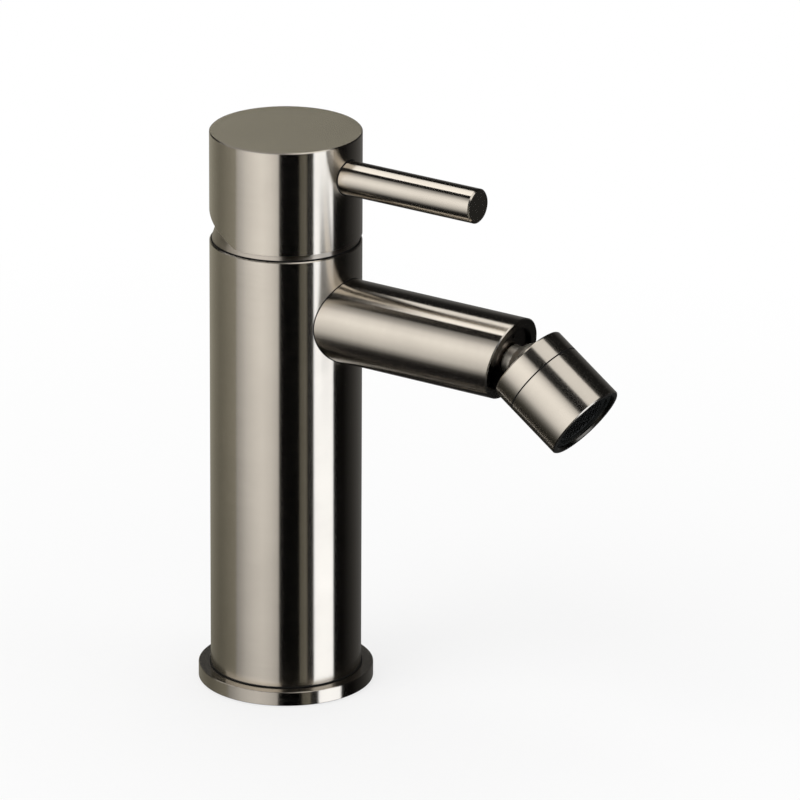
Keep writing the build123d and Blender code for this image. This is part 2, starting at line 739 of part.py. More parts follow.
with BuildPart() as swivel_housing:
    disc(outlet_frame, collar_front, outlet_station, outlet_radius)
    housing_rims = swivel_housing.edges().filter_by(GeomType.CIRCLE).sort_by(Axis.Y)
    chamfer(housing_rims[-1], seam_edge)
    chamfer(housing_rims[0], outlet_edge)
    disc(outlet_frame, thread_start + face_gap, collar_front, collar_thread - fit_gap)
    disc(outlet_frame, thread_start, shoulder_depth, seat_radius + running_gap, mode=Mode.SUBTRACT)
    disc(outlet_frame, shoulder_depth, shoulder_end, seat_radius - shoulder_width, mode=Mode.SUBTRACT)
    disc(outlet_frame, shoulder_end, outlet_station, aerator_radius + fit_gap, mode=Mode.SUBTRACT)
    with BuildSketch(outlet_frame.offset(outlet_station - rim_chamfer)) as rim_face:
        Circle(aerator_radius + fit_gap)
    extrude(rim_face.sketch, amount=rim_chamfer, taper=-45, mode=Mode.SUBTRACT)
save(swivel_housing, "swivel_housing")

with BuildPart() as ball_seat:
    disc(outlet_frame, seat_start, seat_end, seat_radius, seat_radius - seat_width)
    with Locations(ball_centre):
        Sphere(seat_sphere, mode=Mode.SUBTRACT)
save(ball_seat, "ball_seat")

seat_seal_section = shoulder_depth - seat_end - 2 * seal_gap

with BuildPart() as seat_seal:
    seal_ring(outlet_frame, (seat_end + shoulder_depth) / 2, seat_radius - seat_seal_section / 2,
              seat_seal_section)
save(seat_seal, "seat_seal")

# Aerator: gasket, case, flow limiter and perforated screen
screen_rings = int((insert_radius - screen_margin - screen_hole_diameter / 2) / screen_pitch)

with BuildPart() as aerator_gasket:
    disc(outlet_frame, shoulder_end, case_start, aerator_radius, aerator_radius - aerator_gasket_width)
save(aerator_gasket, "aerator_gasket")

with BuildPart() as aerator_case:
    disc(outlet_frame, case_start, case_end, aerator_radius)
    disc(outlet_frame, limiter_start, case_end, case_bore, mode=Mode.SUBTRACT)
    disc(outlet_frame, case_start, limiter_start, aerator_radius - aerator_gasket_width, mode=Mode.SUBTRACT)
save(aerator_case, "aerator_case")

with BuildPart() as flow_limiter:
    disc(outlet_frame, limiter_start, limiter_end, insert_radius)
    with BuildSketch(outlet_frame.offset(limiter_start)):
        with PolarLocations(insert_radius - limiter_inset, limiter_hole_count):
            Circle(limiter_hole_diameter / 2)
    extrude(amount=limiter_thickness, mode=Mode.SUBTRACT)
save(flow_limiter, "flow_limiter")

with BuildPart() as aerator_screen:
    disc(outlet_frame, screen_start, screen_end, insert_radius)
    with BuildSketch(outlet_frame.offset(screen_end)):
        Circle(screen_hole_diameter / 2)
        for ring in range(1, screen_rings + 1):
            with PolarLocations(ring * screen_pitch, 6 * ring):
                Circle(screen_hole_diameter / 2)
    extrude(amount=-screen_thickness, mode=Mode.SUBTRACT)
save(aerator_screen, "aerator_screen")
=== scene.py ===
"""Looks of a single-lever bidet mixer: finishes, fine repeated details, studio and camera.

Metres, +Z up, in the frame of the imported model. The spout and the lever point along -Y.
"""

import logging
import math
from dataclasses import dataclass
from enum import Enum

import bpy
from mathutils import Matrix, Vector


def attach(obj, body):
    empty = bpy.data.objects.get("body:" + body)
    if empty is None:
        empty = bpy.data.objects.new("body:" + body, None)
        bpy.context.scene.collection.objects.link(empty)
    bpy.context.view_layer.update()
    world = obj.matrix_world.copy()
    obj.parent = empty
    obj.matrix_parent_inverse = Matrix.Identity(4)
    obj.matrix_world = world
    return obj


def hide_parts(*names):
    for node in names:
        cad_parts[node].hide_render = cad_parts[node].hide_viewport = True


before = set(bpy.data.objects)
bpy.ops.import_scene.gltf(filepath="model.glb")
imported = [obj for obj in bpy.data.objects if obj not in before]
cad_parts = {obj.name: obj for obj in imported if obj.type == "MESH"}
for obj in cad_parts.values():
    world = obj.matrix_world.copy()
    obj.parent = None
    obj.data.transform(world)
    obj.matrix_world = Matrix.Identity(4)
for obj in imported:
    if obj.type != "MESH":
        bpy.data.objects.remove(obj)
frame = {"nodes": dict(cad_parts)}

logging.basicConfig(level=logging.INFO, format="%(name)s: %(message)s")
log = logging.getLogger("bidet_mixer")

Colour = tuple[float, float, float]
Point = tuple[float, float, float]
Row = tuple[Point, ...]
Face = tuple[int, ...]
Node = bpy.types.Node
Socket = bpy.types.NodeSocket
Tree = bpy.types.NodeTree
Material = bpy.types.Material

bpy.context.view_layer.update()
FACING = -55.65  # side that the camera stands on, in degrees about Z from -Y
BALL: Point = (0.0, -0.085513, 0.110683)  # middle of the ball that the outlet tilts on
NOISE_SPAN = (0.3, 0.7)  # the part of its range that a noise texture mostly fills
WHITE = (1.0, 1.0, 1.0, 1.0)


class TurnedAbout(Enum):
    """The axes that pieces were turned about: a point on the axis and its tilt from upright, in degrees."""

    COLUMN = ((0.0, 0.0, 0.0), 0.0)
    LEVER = ((0.0, 0.0, 0.15537), 90.0)
    SPOUT = ((0.0, 0.0, 0.1127), 90.0)
    STUD = (BALL, 103.8)
    OUTLET = (BALL, 125.3)

    @property
    def centre(self) -> Point:
        """Return a point on the axis, in metres."""
        return self.value[0]

    @property
    def tilt(self) -> float:
        """Return the tilt about X, in radians."""
        return math.radians(self.value[1])

    @property
    def direction(self) -> Point:
        """Return the unit vector along the axis."""
        return (0.0, -math.sin(self.tilt), math.cos(self.tilt))

    def at(self, distance: float) -> Point:
        """Return the point at a distance along the axis, in metres."""
        return tuple(Vector(self.centre) + distance * Vector(self.direction))


class EndGrain(Enum):
    """Directions that the reflections on a flat end spread along."""

    STRAIGHT = (1.0, 0.0, 0.0)
    UPRIGHT = (0.0, 0.0, 1.0)


class Graph:
    """A node tree that is filled one node at a time."""

    def __init__(self, tree: Tree) -> None:
        """Start from the tree that receives the nodes."""
        self.tree = tree

    def node(self, kind: str, inputs: dict | None = None, **settings: object) -> Node:
        """Add a node.

        Args:
            kind: Blender's name for the node type.
            inputs: socket names or places, each with a socket to link or a plain value.
            settings: attributes of the node.

        Returns:
            The new node.
        """
        new = self.tree.nodes.new(kind)
        for name, value in settings.items():
            setattr(new, name, value)
        for key, value in (inputs or {}).items():
            if isinstance(value, Socket):
                self.tree.links.new(value, new.inputs[key])
            else:
                new.inputs[key].default_value = value
        return new

    def math(self, operation: str, *values: object) -> Socket:
        """Add a Math node for sockets or numbers and return its result's socket."""
        return self.node("ShaderNodeMath", dict(enumerate(values)), operation=operation).outputs[0]

    def vector_math(self, operation: str, *values: object) -> Node:
        """Add a Vector Math node for sockets or vectors and return it."""
        return self.node("ShaderNodeVectorMath", dict(enumerate(values)), operation=operation)

    def blend(self, factor: object, low: object, high: object, kind: str = "FLOAT") -> Socket:
        """Mix two values.

        Args:
            factor: 0 for the first value, 1 for the second.
            low: the first value or socket.
            high: the second value or socket.
            kind: FLOAT, VECTOR or RGBA.

        Returns:
            The result's socket.
        """
        first, out = {"FLOAT": (2, 0), "VECTOR": (4, 1), "RGBA": (6, 2)}[kind]
        inputs = {0: factor, first: low, first + 1: high}
        return self.node("ShaderNodeMix", inputs, data_type=kind).outputs[out]

    def remap(self, value: object, low: float, high: float, start: float = 0.0, end: float = 1.0) -> Socket:
        """Return the socket of a value mapped from low and high to start and end, and kept between them."""
        return self.node("ShaderNodeMapRange", {0: value, 1: low, 2: high, 3: start, 4: end}).outputs[0]

    def split(self, vector: Socket) -> bpy.types.bpy_prop_collection:
        """Return the sockets of a vector's three parts."""
        return self.node("ShaderNodeSeparateXYZ", {0: vector}).outputs

    def join(self, *parts: object) -> Socket:
        """Return the socket of a vector made of up to three parts."""
        return self.node("ShaderNodeCombineXYZ", dict(enumerate(parts))).outputs[0]

    def length(self, vector: Socket) -> Socket:
        """Return the socket of a vector's length."""
        return self.vector_math("LENGTH", vector).outputs["Value"]


def sockets(**names: str) -> dict[str, str]:
    """List the sockets of a group.

    Args:
        names: for each kind of socket, such as Float, the names that have it, in one string.

    Returns:
        Socket types by name, in order.
    """
    return {name: f"NodeSocket{kind}" for kind, line in names.items() for name in line.split()}


def new_group(name: str, inputs: dict[str, str], output: str) -> Graph:
    """Start a shader node group that gives out one number.

    Args:
        name: the group's name.
        inputs: input names and socket types.
        output: the output's name.

    Returns:
        The group's graph.
    """
    tree = bpy.data.node_groups.new(name, "ShaderNodeTree")
    for label, kind in inputs.items():
        tree.interface.new_socket(name=label, in_out="INPUT", socket_type=kind)
    tree.interface.new_socket(name=output, in_out="OUTPUT", socket_type="NodeSocketFloat")
    return Graph(tree)


class Effects:
    """Surface effects that several finishes share, each built once as a node group."""

    def __init__(self) -> None:
        """Build the groups."""
        self.turning = self._turning_marks()
        self.patches = self._soft_patches()
        self.smudges = self._wiped_smudges()
        self.grain = self._moulded_grain()

    @staticmethod
    def _turning_marks() -> Tree:
        """Build fine rings round the local Z axis, broken up along their length.

        Returns:
            The node group.
        """
        graph = new_group("turning_marks", sockets(Vector="Vector", Float="Rings Breaks"), "Marks")
        given = graph.node("NodeGroupInput").outputs
        parts = graph.split(given["Vector"])
        across = graph.join(parts[0], parts[1])
        turns = graph.split(graph.vector_math("NORMALIZE", across).outputs[0])
        rings, breaks = given["Rings"], given["Breaks"]
        place = graph.join(
            graph.math("MULTIPLY", parts[2], rings),
            graph.math("MULTIPLY", graph.length(across), rings),
            graph.math("MULTIPLY", turns[0], breaks),
        )
        drift = graph.math("MULTIPLY", turns[1], breaks)
        noise = graph.node(
            "ShaderNodeTexNoise",
            {"Vector": place, "W": drift, "Scale": 1.0, "Detail": 3.0, "Roughness": 0.7},
            noise_dimensions="4D",
        )
        graph.node("NodeGroupOutput", {"Marks": graph.remap(noise.outputs[0], *NOISE_SPAN)})
        return graph.tree

    @staticmethod
    def _soft_patches() -> Tree:
        """Build broad, soft changes of tone.

        Returns:
            The node group.
        """
        graph = new_group("soft_patches", sockets(Vector="Vector", Float="Scale"), "Patches")
        given = graph.node("NodeGroupInput").outputs
        place = {"Vector": given["Vector"], "Scale": given["Scale"]}
        noise = graph.node("ShaderNodeTexNoise", {**place, "Detail": 2.0, "Roughness": 0.5}).outputs[0]
        graph.node("NodeGroupOutput", {"Patches": graph.remap(noise, *NOISE_SPAN)})
        return graph.tree

    @staticmethod
    def _wiped_smudges() -> Tree:
        """Build faint smears, as a cloth leaves them.

        Returns:
            The node group.
        """
        graph = new_group("wiped_smudges", sockets(Vector="Vector", Float="Scale Cover"), "Smudges")
        given = graph.node("NodeGroupInput").outputs
        place = {"Vector": given["Vector"], "Scale": given["Scale"]}
        smears = {**place, "Detail": 4.0, "Roughness": 0.6, "Distortion": 1.2}
        noise = graph.node("ShaderNodeTexNoise", smears).outputs[0]
        start = graph.math("SUBTRACT", 0.75, graph.math("MULTIPLY", given["Cover"], 0.5))
        over = graph.math("SUBTRACT", noise, start)
        spread = graph.node("ShaderNodeMath", {0: over, 1: 5.0}, operation="MULTIPLY", use_clamp=True)
        graph.node("NodeGroupOutput", {"Smudges": spread.outputs[0]})
        return graph.tree

    @staticmethod
    def _moulded_grain() -> Tree:
        """Build the fine even grain of moulded or cast surfaces.

        Returns:
            The node group.
        """
        graph = new_group("moulded_grain", sockets(Vector="Vector", Float="Scale"), "Grain")
        given = graph.node("NodeGroupInput").outputs
        place = {"Vector": given["Vector"], "Scale": given["Scale"]}
        cells = graph.node("ShaderNodeTexVoronoi", place, feature="SMOOTH_F1")
        noise = graph.node("ShaderNodeTexNoise", {**place, "Detail": 2.0})
        both = graph.math("ADD", cells.outputs["Distance"], noise.outputs[0])
        graph.node("NodeGroupOutput", {"Grain": graph.math("MULTIPLY", both, 0.5)})
        return graph.tree


def grey(value: float) -> Colour:
    """Return a neutral colour."""
    return (value, value, value)


def shaded(colour: Colour, factor: float) -> tuple[float, float, float, float]:
    """Return a colour made lighter or darker, with full alpha."""
    return (colour[0] * factor, colour[1] * factor, colour[2] * factor, 1.0)


def cleared(owner: Material | bpy.types.World) -> Graph:
    """Give a new material or world an empty node tree.

    Args:
        owner: the material or world.

    Returns:
        The tree's graph.
    """
    owner.use_nodes = True
    owner.node_tree.nodes.clear()
    return Graph(owner.node_tree)


def place_group(graph: Graph, group: Tree, inputs: dict) -> Socket:
    """Place a shared group in a material and return its output."""
    return graph.node("ShaderNodeGroup", inputs, node_tree=group).outputs[0]


def mottled(graph: Graph, patches: Socket, colour: Colour, spread: float) -> Socket:
    """Return a colour that is darker and lighter in patches, by a share of itself."""
    return graph.blend(patches, shaded(colour, 1.0 - spread), shaded(colour, 1.0 + spread), "RGBA")


@dataclass(frozen=True)
class TurnedMetal:
    """A metal skin on some nodes, whose fine marks run round an axis.

    Its ends are the faces square to the axis, and its bore is what lies within bore_radius of it.
    Ends may be darkened or tinted and the bore darkened, as painted shade and painted reflection tint.
    """

    name: str
    nodes: tuple[str, ...]
    colour: Colour
    axis: TurnedAbout
    roughness: float = 0.2
    anisotropy: float = 1.0
    ends: EndGrain = EndGrain.STRAIGHT
    end_from: float = 0.9
    end_roughness: float = 0.14
    painted_end_shade: Colour = (1.0, 1.0, 1.0)
    end_calm: float = 0.85
    rings: float = 1400.0
    breaks: float = 1.6
    depth: float = 0.0000001
    bump: float = 0.6
    mark_contrast: float = 0.02
    mark_roughness: float = 0.01
    patch_scale: float = 55.0
    patch_contrast: float = 0.03
    smudge_scale: float = 90.0
    smudge_cover: float = 0.5
    smudge_roughness: float = 0.015
    bore_radius: float = 0.0
    painted_bore_shade: float = 0.2

    def build(self, effects: Effects) -> Material:
        """Make the material.

        Args:
            effects: the shared node groups.

        Returns:
            The new material.
        """
        material = bpy.data.materials.new(self.name)
        graph = cleared(material)
        place = graph.node("ShaderNodeTexCoord").outputs
        turned = (self.axis.tilt, 0.0, 0.0)
        local = graph.node(
            "ShaderNodeMapping",
            {"Vector": place["Object"], "Location": self.axis.centre, "Rotation": turned},
            vector_type="TEXTURE",
        ).outputs[0]
        rings = {"Vector": local, "Rings": self.rings, "Breaks": self.breaks}
        patches = {"Vector": local, "Scale": self.patch_scale}
        smudges = {"Vector": local, "Scale": self.smudge_scale, "Cover": self.smudge_cover}
        on_end = self._end_mask(graph, place["Normal"])
        calm = graph.math("MULTIPLY", on_end, self.end_calm)
        marks = graph.blend(calm, place_group(graph, effects.turning, rings), 0.5)

        toned = place_group(graph, effects.patches, patches)
        tone = mottled(graph, toned, self.colour, self.patch_contrast)
        marks_and_painted_shade = graph.remap(marks, 0.0, 1.0, 1.0 - self.mark_contrast, 1.0 + self.mark_contrast)
        # Painted shade: the colour inside the bore is darkened, on top of the real turning marks.
        if self.bore_radius:
            parts = graph.split(local)
            in_bore = graph.math("LESS_THAN", graph.length(graph.join(parts[0], parts[1])), self.bore_radius)
            marks_and_painted_shade = graph.math("MULTIPLY", marks_and_painted_shade, graph.blend(in_bore, 1.0, self.painted_bore_shade))
        # Painted shade and painted reflection tint: the end faces take their own colour factor, darker or
        # warmer.
        tint = graph.blend(on_end, (1.0, 1.0, 1.0), self.painted_end_shade, "VECTOR")
        tinted = {0: graph.vector_math("MULTIPLY", tone, tint).outputs[0], "Scale": marks_and_painted_shade}
        colour = graph.node("ShaderNodeVectorMath", tinted, operation="SCALE")

        smears = graph.math("MULTIPLY", place_group(graph, effects.smudges, smudges), self.smudge_roughness)
        rubbed = graph.remap(marks, 0.0, 1.0, -self.mark_roughness, self.mark_roughness)
        rough = graph.math("ADD", graph.blend(on_end, self.roughness, self.end_roughness), rubbed)
        rough = graph.math("ADD", rough, graph.blend(calm, smears, 0.0))

        bump = graph.node("ShaderNodeBump", {"Strength": self.bump, "Distance": self.depth, "Height": marks})
        shader = graph.node(
            "ShaderNodeBsdfPrincipled",
            {
                "Base Color": colour.outputs[0],
                "Metallic": 1.0,
                "Roughness": rough,
                "Anisotropic": self.anisotropy,
                "Tangent": self._tangent(graph, on_end),
                "Normal": bump.outputs[0],
            },
        )
        graph.node("ShaderNodeOutputMaterial", {"Surface": shader.outputs[0]})
        return material

    def _end_mask(self, graph: Graph, normal: Socket) -> Socket:
        """Return 1 on faces square to the axis and 0 elsewhere."""
        along = graph.vector_math("DOT_PRODUCT", normal, self.axis.direction).outputs["Value"]
        return graph.math("GREATER_THAN", graph.math("ABSOLUTE", along), self.end_from)

    def _tangent(self, graph: Graph, on_end: Socket) -> Socket:
        """Make the direction that the reflections spread along, square to the marks.

        Args:
            graph: the material's graph.
            on_end: mask of the flat ends.

        Returns:
            The tangent in world space.
        """
        chosen = graph.blend(on_end, self.axis.direction, self.ends.value, "VECTOR")
        spaces = {"vector_type": "VECTOR", "convert_from": "OBJECT", "convert_to": "WORLD"}
        return graph.node("ShaderNodeVectorTransform", {0: chosen}, **spaces).outputs[0]


@dataclass(frozen=True)
class Moulded:
    """A plastic, rubber or ceramic skin with a fine grain."""

    name: str
    nodes: tuple[str, ...]
    colour: Colour
    roughness: float
    grain_scale: float
    grain_depth: float
    tone_spread: float = 0.06
    specular: float = 0.5
    patch_scale: float = 120.0
    smudge_scale: float = 200.0
    smudge_cover: float = 0.5
    smudge_roughness: float = 0.08

    def build(self, effects: Effects) -> Material:
        """Make the material.

        Args:
            effects: the shared node groups.

        Returns:
            The new material.
        """
        material = bpy.data.materials.new(self.name)
        graph = cleared(material)
        place = graph.node("ShaderNodeTexCoord").outputs["Object"]
        grain = place_group(graph, effects.grain, {"Vector": place, "Scale": self.grain_scale})
        patches = place_group(graph, effects.patches, {"Vector": place, "Scale": self.patch_scale})
        cover = {"Vector": place, "Scale": self.smudge_scale, "Cover": self.smudge_cover}
        smudges = place_group(graph, effects.smudges, cover)
        rough = graph.math("ADD", self.roughness, graph.math("MULTIPLY", smudges, self.smudge_roughness))
        bump = graph.node("ShaderNodeBump", {"Strength": 1.0, "Distance": self.grain_depth, "Height": grain})
        shader = graph.node(
            "ShaderNodeBsdfPrincipled",
            {
                "Base Color": mottled(graph, patches, self.colour, self.tone_spread),
                "Metallic": 0.0,
                "Roughness": rough,
                "Specular IOR Level": self.specular,
                "Normal": bump.outputs[0],
            },
        )
        graph.node("ShaderNodeOutputMaterial", {"Surface": shader.outputs[0]})
        return material


NICKEL: Colour = (0.588, 0.535, 0.461)
DEEP_NICKEL: Colour = (0.541, 0.492, 0.424)
BRASS: Colour = (0.66, 0.45, 0.19)

FINISHES: tuple[TurnedMetal | Moulded, ...] = (
    # The column's and base ring's end faces are darkened: painted shade.
    TurnedMetal(
        "column_nickel", ("body_shell", "base_ring"), NICKEL, TurnedAbout.COLUMN, painted_end_shade=grey(0.7)
    ),
    # The head's top face is tinted warmer: a painted reflection colour.
    TurnedMetal(
        "head_nickel", ("handle_head",), NICKEL, TurnedAbout.COLUMN,
        end_roughness=0.27, painted_end_shade=(1.0, 1.0, 0.89),
    ),
    TurnedMetal(
        "lever_nickel", ("lever_rod",), NICKEL, TurnedAbout.LEVER,
        roughness=0.17, anisotropy=0.8, ends=EndGrain.UPRIGHT, end_roughness=0.2,
    ),
    # The spout's mouth face and bore are darkened: painted shade.
    TurnedMetal(
        "spout_nickel", ("spout_tube",), NICKEL, TurnedAbout.SPOUT,
        roughness=0.18, painted_end_shade=grey(0.4), bore_radius=0.0093,
    ),
    # The outlet's end face and bore are darkened: painted shade.
    TurnedMetal(
        "outlet_nickel", ("swivel_collar", "swivel_housing"), DEEP_NICKEL, TurnedAbout.OUTLET,
        roughness=0.225, anisotropy=0.8, painted_end_shade=grey(0.3), bore_radius=0.01085,
    ),
    TurnedMetal("dome_satin", ("dome_ring",), (0.50, 0.45, 0.39), TurnedAbout.COLUMN, roughness=0.3),
    # The gland nut is dark satin, darkened further as painted shade inside the spout's mouth.
    TurnedMetal("gland_satin_painted_shade", ("gland_nut",), (0.15, 0.13, 0.115), TurnedAbout.SPOUT, roughness=0.25),
    # The stud is coloured lighter than polished nickel: painted light inside the spout's mouth.
    TurnedMetal(
        "stud_polish_painted_light", ("ball_stud",), (0.88, 0.82, 0.72), TurnedAbout.STUD,
        roughness=0.4, anisotropy=0.3, end_roughness=0.4,
    ),
    TurnedMetal(
        "core_brass", ("valve_core", "cartridge_nut", "spindle"), BRASS, TurnedAbout.COLUMN,
        roughness=0.32, anisotropy=0.5, mark_contrast=0.09,
    ),
    TurnedMetal(
        "spout_brass", ("spout_bush", "spout_bolt"), BRASS, TurnedAbout.SPOUT,
        roughness=0.32, anisotropy=0.5, mark_contrast=0.09,
    ),
    TurnedMetal(
        "ground_steel", ("core_dowel", "spindle_pin", "grub_screw"), (0.56, 0.56, 0.57), TurnedAbout.COLUMN,
        roughness=0.28, anisotropy=0.4, rings=3000.0,
    ),
    Moulded(
        "grey_nylon", ("cartridge_base", "cartridge_housing", "cartridge_rotor", "disc_carrier"),
        (0.20, 0.21, 0.225), roughness=0.42, grain_scale=5200.0, grain_depth=0.00002,
    ),
    Moulded(
        "white_acetal", ("ball_seat", "stud_washer", "flow_limiter"),
        (0.74, 0.74, 0.71), roughness=0.35, grain_scale=4200.0, grain_depth=0.000015, tone_spread=0.03,
    ),
    Moulded(
        "black_acetal", ("aerator_case", "aerator_screen"), (0.012, 0.013, 0.012),
        roughness=0.45, grain_scale=5200.0, grain_depth=0.00002, tone_spread=0.2, specular=0.25,
    ),
    Moulded(
        "lapped_ceramic", ("fixed_disc", "moving_disc"), (0.80, 0.78, 0.73),
        roughness=0.14, grain_scale=9000.0, grain_depth=0.000003, tone_spread=0.02,
    ),
    # Rubber of the real seals, also used for the dark lines laid in gaps as painted shade.
    Moulded(
        "rubber_and_painted_shade",
        (
            "base_gasket", "ring_seal", "core_seals", "inlet_seals", "disc_seals", "cartridge_seal",
            "rotor_seal", "dome_seal", "spout_seal", "stud_seal", "seat_seal", "aerator_gasket",
        ),
        (0.008, 0.0075, 0.007),
        roughness=0.55, grain_scale=3600.0, grain_depth=0.00003, tone_spread=0.25, specular=0.12,
    ),
)


class Finisher:
    """Gives every carried-over node its finish."""

    def __init__(self, nodes: dict[str, bpy.types.Object]) -> None:
        """Make all materials.

        Args:
            nodes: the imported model's objects by name.
        """
        effects = Effects()
        self.nodes = nodes
        self.materials = {finish.name: finish.build(effects) for finish in FINISHES}

    def dress(self) -> None:
        """Put each material on its nodes."""
        for finish in FINISHES:
            for member in finish.nodes:
                slots = self.nodes[member].data.materials
                slots.clear()
                slots.append(self.materials[finish.name])
            log.info("%s on %s", finish.name, ", ".join(finish.nodes))


class Recipe:
    """A geometry node tree with named inputs."""

    def __init__(self, name: str, inputs: dict[str, str]) -> None:
        """Start the tree.

        Args:
            name: the tree's name.
            inputs: input names and socket types.
        """
        self.tree = bpy.data.node_groups.new(name, "GeometryNodeTree")
        for label, kind in inputs.items():
            self.tree.interface.new_socket(name=label, in_out="INPUT", socket_type=kind)
        self.tree.interface.new_socket(name="Geometry", in_out="OUTPUT", socket_type="NodeSocketGeometry")
        self.graph = Graph(self.tree)
        self.given = self.graph.node("NodeGroupInput").outputs

    def circle(self, radius: Socket, sides: int) -> Socket:
        """Return a level circle, or a polygon of few sides."""
        given = {"Resolution": sides, "Radius": radius}
        return self.graph.node("GeometryNodeCurvePrimitiveCircle", given).outputs[0]

    def sweep(self, path: Socket, section: Socket) -> Socket:
        """Return the mesh of a section drawn along a path."""
        return self.graph.node("GeometryNodeCurveToMesh", {0: path, 1: section}).outputs[0]

    def oblong(self, width: Socket, height: Socket) -> Socket:
        """Return a rectangle of a width and a height."""
        return self.graph.node("GeometryNodeCurvePrimitiveQuadrilateral", {0: width, 1: height}).outputs[0]

    def put(self, shape: Socket) -> Socket:
        """Return a shape moved to the input Place, and turned by the input Tilt where there is one."""
        turn = {"Rotation": self.given["Tilt"]} if "Tilt" in self.given else {}
        place = {0: shape, "Translation": self.given["Place"]}
        return self.graph.node("GeometryNodeTransform", {**place, **turn}).outputs[0]

    def close(self, geometry: Socket) -> None:
        """End the tree in realised instances that carry the finish.

        Args:
            geometry: the shape to give out.
        """
        real = self.graph.node("GeometryNodeRealizeInstances", {0: geometry}).outputs[0]
        finish = {"Geometry": real, "Material": self.given["Finish"]}
        dressed = self.graph.node("GeometryNodeSetMaterial", finish)
        self.graph.node("NodeGroupOutput", {0: dressed.outputs[0]})

    def make(self, name: str, values: dict[str, object]) -> bpy.types.Object:
        """Run the tree once and keep its result as a plain mesh.

        Args:
            name: the piece's name.
            values: a value for each named input.

        Returns:
            The new object, at the origin.
        """
        piece = bpy.data.objects.new(name, bpy.data.meshes.new(name))
        bpy.context.scene.collection.objects.link(piece)
        modifier = piece.modifiers.new(name, "NODES")
        modifier.node_group = self.tree
        for item in self.tree.interface.items_tree:
            if item.in_out == "INPUT" and item.name in values:
                modifier[item.identifier] = values[item.name]
        evaluated = piece.evaluated_get(bpy.context.evaluated_depsgraph_get())
        mesh = bpy.data.meshes.new_from_object(evaluated)
        mesh.name = name
        piece.modifiers.clear()
        piece.data = mesh
        log.info("%s: %d faces", name, len(mesh.polygons))
        return piece


@dataclass
class AeratorInsert:
    """The honeycomb that the water leaves through, in place of the plain perforated disc.

    It lies between start and end, which are distances from the ball along the outlet's axis. Cells keep
    edge_share of a pitch from the rim's outer radius.
    """

    finish: Material
    start: float = 0.0178
    end: float = 0.0192
    radius: float = 0.0088
    rim: float = 0.0009
    rim_sides: int = 96
    pitch: float = 0.0015
    wall: float = 0.00028
    rows: int = 15
    edge_share: float = 0.62

    def build(self) -> None:
        """Make the honeycomb, put it in the outlet and hide the disc."""
        piece = self._recipe().make(
            "aerator_honeycomb",
            {
                "Pitch": self.pitch,
                "Wall": self.wall,
                "Height": self.end - self.start,
                "Radius": self.radius,
                "Rim": self.rim,
                "Rows": self.rows,
                "Place": TurnedAbout.OUTLET.at((self.start + self.end) / 2),
                "Tilt": (TurnedAbout.OUTLET.tilt, 0.0, 0.0),
                "Finish": self.finish,
            },
        )
        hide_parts("aerator_screen")
        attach(piece, "outlet_head")

    def _recipe(self) -> Recipe:
        """Build the tree: hexagonal cells on a staggered grid, inside a rim.

        Returns:
            The finished recipe.
        """
        recipe = Recipe(
            "honeycomb",
            sockets(
                Float="Pitch Wall Height Radius Rim", Int="Rows", Vector="Place Tilt", Material="Finish"
            ),
        )
        graph, given = recipe.graph, recipe.given
        pitch, radius = given["Pitch"], given["Radius"]
        cell = recipe.circle(graph.math("DIVIDE", pitch, math.sqrt(3.0)), 6)
        pointed = graph.node("GeometryNodeTransform", {0: cell, "Rotation": (0.0, 0.0, math.radians(30.0))})
        walls = recipe.sweep(pointed.outputs[0], recipe.oblong(given["Wall"], given["Height"]))
        points = graph.node("GeometryNodeMeshToPoints", {0: self._grid(graph, given)}).outputs[0]
        cells = graph.node("GeometryNodeInstanceOnPoints", {"Points": points, "Instance": walls})
        middle = graph.math("SUBTRACT", radius, graph.math("MULTIPLY", given["Rim"], 0.5))
        section = recipe.oblong(given["Rim"], given["Height"])
        rim = recipe.sweep(recipe.circle(middle, self.rim_sides), section)
        both = graph.node("GeometryNodeJoinGeometry")
        for shape in (cells.outputs[0], rim):
            graph.tree.links.new(shape, both.inputs[0])
        recipe.close(recipe.put(both.outputs[0]))
        return recipe

    def _grid(self, graph: Graph, given: bpy.types.bpy_prop_collection) -> Socket:
        """Build a grid of points with every other row shifted, cut to the rim.

        Args:
            graph: the tree's graph.
            given: the tree's inputs.

        Returns:
            The grid, as a mesh.
        """
        pitch, rows = given["Pitch"], given["Rows"]
        row_gap = graph.math("MULTIPLY", pitch, math.sqrt(0.75))
        spans = graph.math("SUBTRACT", rows, 1.0)
        width, depth = graph.math("MULTIPLY", spans, pitch), graph.math("MULTIPLY", spans, row_gap)
        grid = graph.node("GeometryNodeMeshGrid", {0: width, 1: depth, 2: rows, 3: rows}).outputs[0]
        spot = graph.split(graph.node("GeometryNodeInputPosition").outputs[0])
        row = graph.math("ROUND", graph.math("DIVIDE", spot[1], row_gap))
        odd = graph.math("FLOORED_MODULO", row, 2.0)
        shift = graph.math("MULTIPLY", graph.math("MULTIPLY", odd, pitch), 0.5)
        staggered = graph.node("GeometryNodeSetPosition", {0: grid, "Offset": graph.join(shift)}).outputs[0]
        reach = graph.length(graph.node("GeometryNodeInputPosition").outputs[0])
        limit = graph.math("SUBTRACT", given["Radius"], graph.math("MULTIPLY", pitch, self.edge_share))
        beyond = graph.math("GREATER_THAN", reach, limit)
        return graph.node("GeometryNodeDeleteGeometry", {0: staggered, 1: beyond}).outputs[0]


@dataclass(frozen=True)
class Hole:
    """A tapped hole: its place seen from above, its radius, and the thread's length and pitch."""

    name: str
    place: tuple[float, float]
    radius: float
    length: float
    pitch: float


